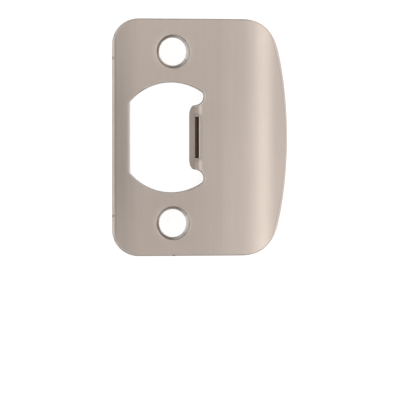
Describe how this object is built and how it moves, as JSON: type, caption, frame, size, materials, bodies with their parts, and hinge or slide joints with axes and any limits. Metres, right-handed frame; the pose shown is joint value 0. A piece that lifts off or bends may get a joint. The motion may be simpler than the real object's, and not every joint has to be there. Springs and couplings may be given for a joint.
{
  "type": "door strike plate",
  "caption": "Door strike plate with a lipped edge, a latch opening and an adjustable bent tang.",
  "frame": {"origin": "midway between the two screw holes, on the flat back face that seats on the door jamb", "axes": "+Z out of the finished face, +X towards the curved lip, +Y along the row of screw holes"},
  "size_m": [0.0439, 0.0572, 0.0086],
  "materials": {
    "strike_plate": "satin nickel, faintly brushed along the row of screw holes"
  },
  "bodies": {
    "root": {"strike_plate": "strike_plate"}
  },
  "joints": []
}
